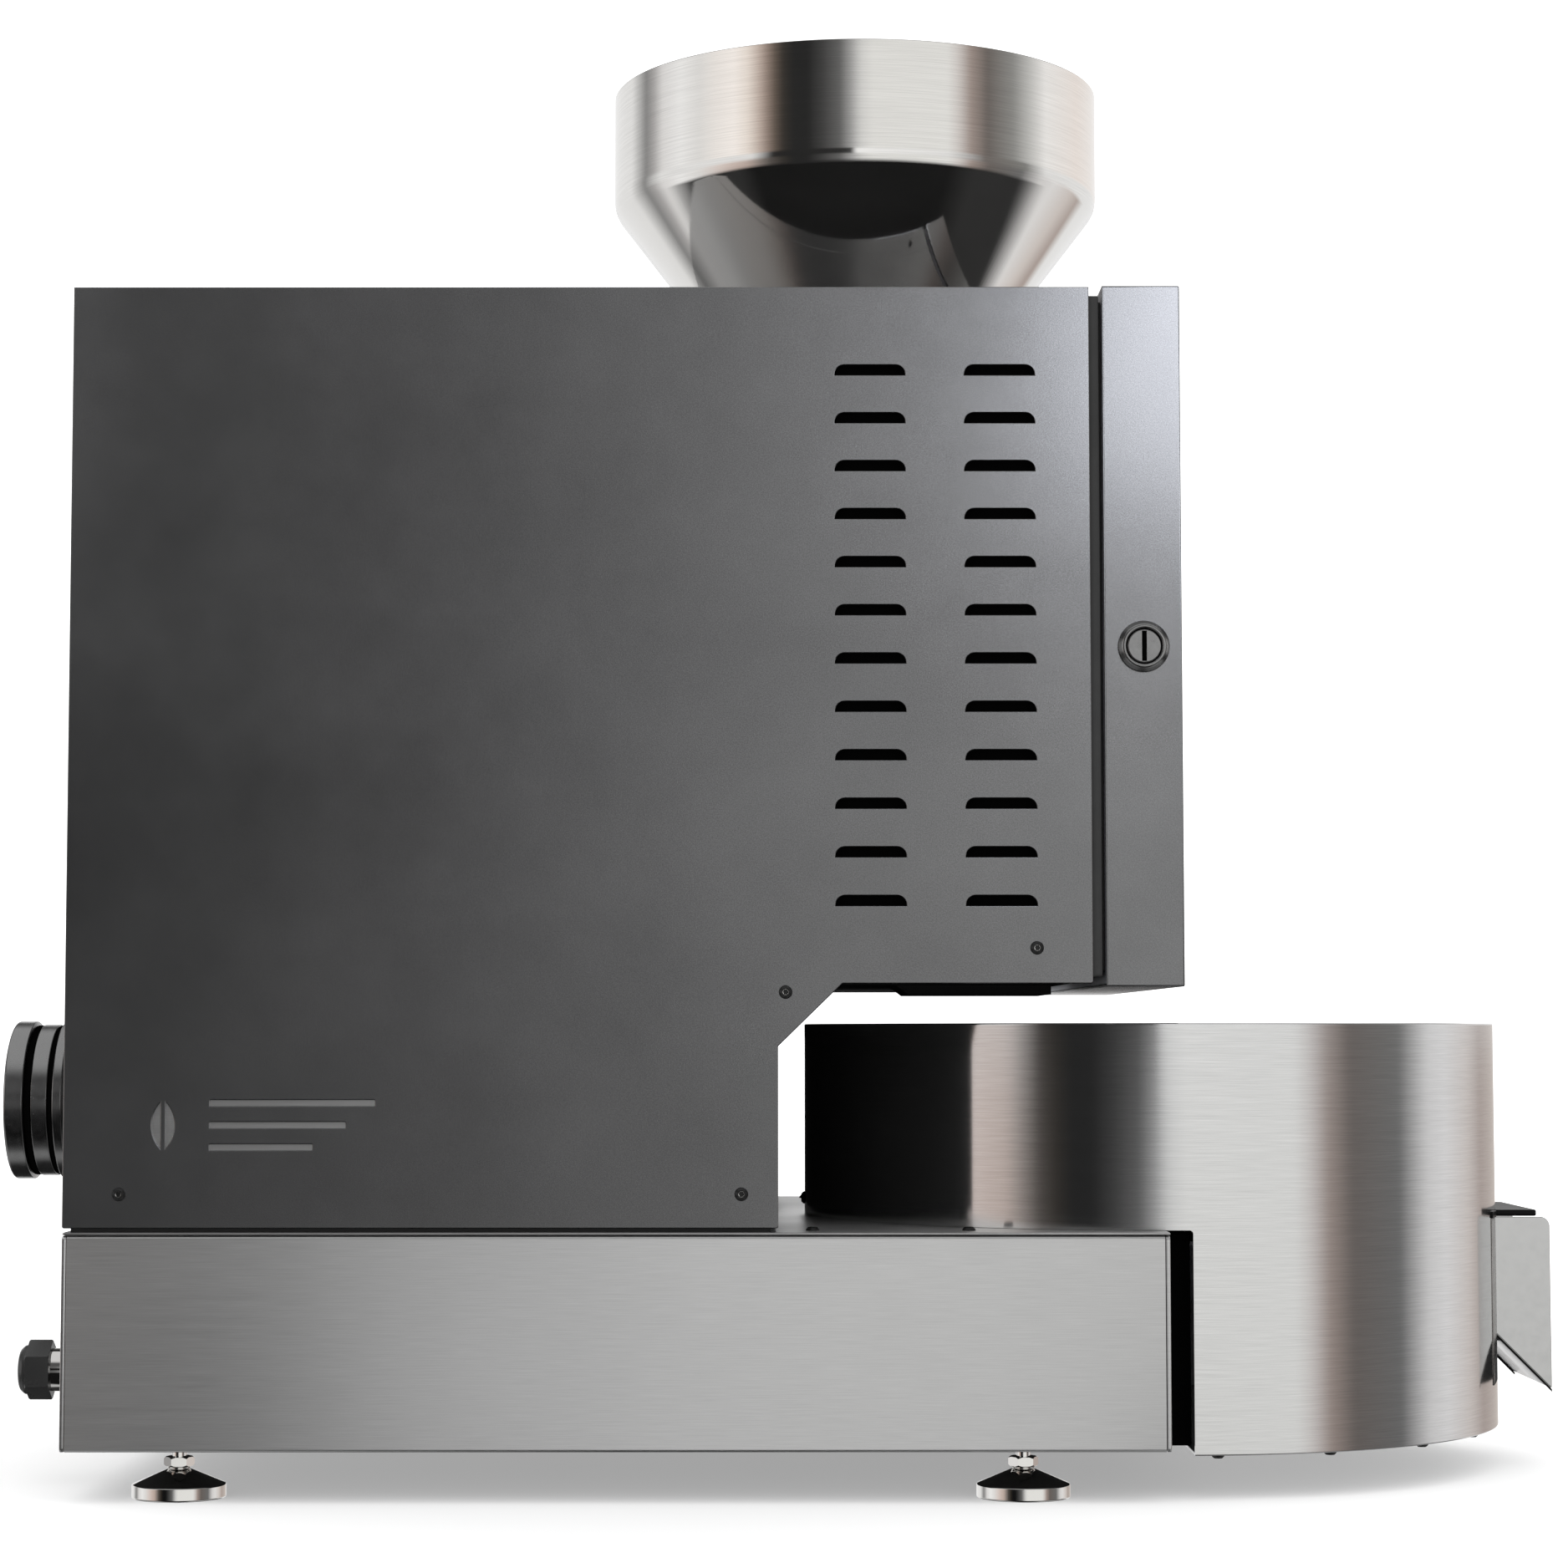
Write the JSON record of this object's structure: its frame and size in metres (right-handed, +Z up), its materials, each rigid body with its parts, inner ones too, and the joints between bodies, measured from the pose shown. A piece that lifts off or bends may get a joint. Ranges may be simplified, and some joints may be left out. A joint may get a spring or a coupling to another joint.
{
  "type": "coffee roaster",
  "caption": "Drum coffee roaster with a charcoal cabinet on a steel base, a conical hopper, a hinged front door and a round cooling tray with a discharge chute.",
  "frame": {"origin": "on the ground under the middle of the outline", "axes": "+X forward towards the cooling tray's chute, +Y to the machine's left-hand side seen from behind the tray (the hinge side), +Z up"},
  "size_m": [0.916, 0.4594, 0.8285],
  "materials": {
    "powder_coat": "fine-textured charcoal powder coat",
    "black_coat": "satin black coat",
    "brushed_steel": "horizontally brushed stainless steel",
    "spun_steel": "spun and polished stainless steel",
    "plain_steel": "machined steel",
    "drum_steel": "dark heat-blued steel",
    "galvanised": "dull aluminised sheet",
    "chrome": "polished chrome",
    "black_metal": "gloss black coat",
    "black_plastic": "semi-gloss black plastic",
    "rubber": "matt black rubber",
    "wool": "mineral wool",
    "board": "circuit board",
    "glass": "dark heat-proof glass"
  },
  "bodies": {
    "chassis": {"agitator_motor": "galvanised", "base_floor": "plain_steel", "base_front_panel": "brushed_steel", "base_rear_panel": "brushed_steel", "base_side_left": "brushed_steel", "base_side_right": "brushed_steel", "button_screws": "black_metal", "cabinet_gasket": "rubber", "cabinet_rear_panel": "powder_coat", "cabinet_side_left": "powder_coat", "cabinet_side_right": "powder_coat", "cabinet_top_panel": "powder_coat", "cabinet_underpan": "black_coat", "cable_gland": "black_plastic", "control_board": "board", "cooling_fan_housing": "galvanised", "cooling_screen": "brushed_steel", "deck_plate": "brushed_steel", "discharge_duct": "galvanised", "door_gasket": "rubber", "drive_belt": "rubber", "drum_bearings": "plain_steel", "drum_faceplate": "drum_steel", "drum_insulation": "wool", "drum_jacket": "galvanised", "drum_motor": "black_coat", "exhaust_fan_housing": "black_coat", "exhaust_spigot": "black_metal", "feed_duct": "galvanised", "frame_posts": "black_coat", "front_bulkhead": "black_coat", "gland_cap": "black_plastic", "heater_elements": "plain_steel", "hinge_fixed": "black_metal", "hopper": "spun_steel", "power_supply": "galvanised", "tray_bottom_plate": "brushed_steel", "tray_chute": "brushed_steel", "tray_skirt": "brushed_steel", "tray_spacer": "black_coat"},
    "door": {"door_shell": "powder_coat", "door_liner": "black_coat", "door_insulation": "wool", "sight_glass": "glass", "lock_bezel": "black_metal", "hinge_door": "black_metal"},
    "lock": {"lock_core": "black_metal"},
    "drum": {"drum_shell": "drum_steel", "drum_shaft": "plain_steel"},
    "drive": {"motor_pulley": "plain_steel"},
    "agitator": {"agitator_arms": "brushed_steel"},
    "cooling_fan": {"cooling_fan_impeller": "black_plastic"},
    "exhaust_fan": {"exhaust_fan_impeller": "black_plastic"},
    "gate": {"hopper_gate": "plain_steel"},
    "flap": {"discharge_flap": "plain_steel"},
    "tray_outlet": {"tray_gate": "black_metal"},
    "foot_rear_left": {"foot_rear_left": "chrome"},
    "foot_rear_right": {"foot_rear_right": "chrome"},
    "foot_front_left": {"foot_front_left": "chrome"},
    "foot_front_right": {"foot_front_right": "chrome"}
  },
  "joints": [
    {"name": "door_swing", "type": "hinge", "parent": "chassis", "child": "door", "pos_m": [0.1782, 0.22662, 0.468], "axis": [0, 0, 1], "range_deg": [0, 110]},
    {"name": "lock_turn", "type": "hinge", "parent": "door", "child": "lock", "pos_m": [0.2036, -0.2246, 0.46685], "axis": [0, -1, 0], "range_deg": [0, 90]},
    {"name": "drum_spin", "type": "hinge", "parent": "chassis", "child": "drum", "pos_m": [-0.1377, 0, 0.448], "axis": [1, 0, 0], "continuous": true},
    {"name": "drive_spin", "type": "hinge", "parent": "chassis", "child": "drive", "pos_m": [-0.3457, 0.12, 0.243], "axis": [1, 0, 0], "continuous": true},
    {"name": "agitator_spin", "type": "hinge", "parent": "chassis", "child": "agitator", "pos_m": [0.226, 0, 0.158], "axis": [0, 0, 1], "continuous": true},
    {"name": "cooling_fan_spin", "type": "hinge", "parent": "chassis", "child": "cooling_fan", "pos_m": [0.1093, 0, 0.068], "axis": [0, 0, 1], "continuous": true},
    {"name": "exhaust_fan_spin", "type": "hinge", "parent": "chassis", "child": "exhaust_fan", "pos_m": [-0.3217, 0, 0.2145], "axis": [1, 0, 0], "continuous": true},
    {"name": "hopper_gate_slide", "type": "slide", "parent": "chassis", "child": "gate", "axis": [0, 1, 0], "range_m": [0, 0.068]},
    {"name": "flap_swing", "type": "hinge", "parent": "chassis", "child": "flap", "pos_m": [0.0198, 0, 0.394], "axis": [0, -1, 0], "range_deg": [0, 65]},
    {"name": "tray_gate_slide", "type": "slide", "parent": "chassis", "child": "tray_outlet", "axis": [1, 0, 0], "range_m": [0, 0.066]},
    {"name": "foot_rear_left_turn", "type": "hinge", "parent": "chassis", "child": "foot_rear_left", "pos_m": [-0.3277, -0.19, 0.018], "axis": [0, 0, 1], "continuous": true},
    {"name": "foot_rear_right_turn", "type": "hinge", "parent": "chassis", "child": "foot_rear_right", "pos_m": [-0.3277, 0.19, 0.018], "axis": [0, 0, 1], "continuous": true},
    {"name": "foot_front_left_turn", "type": "hinge", "parent": "chassis", "child": "foot_front_left", "pos_m": [0.1373, -0.19, 0.018], "axis": [0, 0, 1], "continuous": true},
    {"name": "foot_front_right_turn", "type": "hinge", "parent": "chassis", "child": "foot_front_right", "pos_m": [0.1373, 0.19, 0.018], "axis": [0, 0, 1], "continuous": true}
  ],
  "couplings": [
    {"joint": "drive_spin", "follows": "drum_spin", "ratio": 2.6}
  ]
}
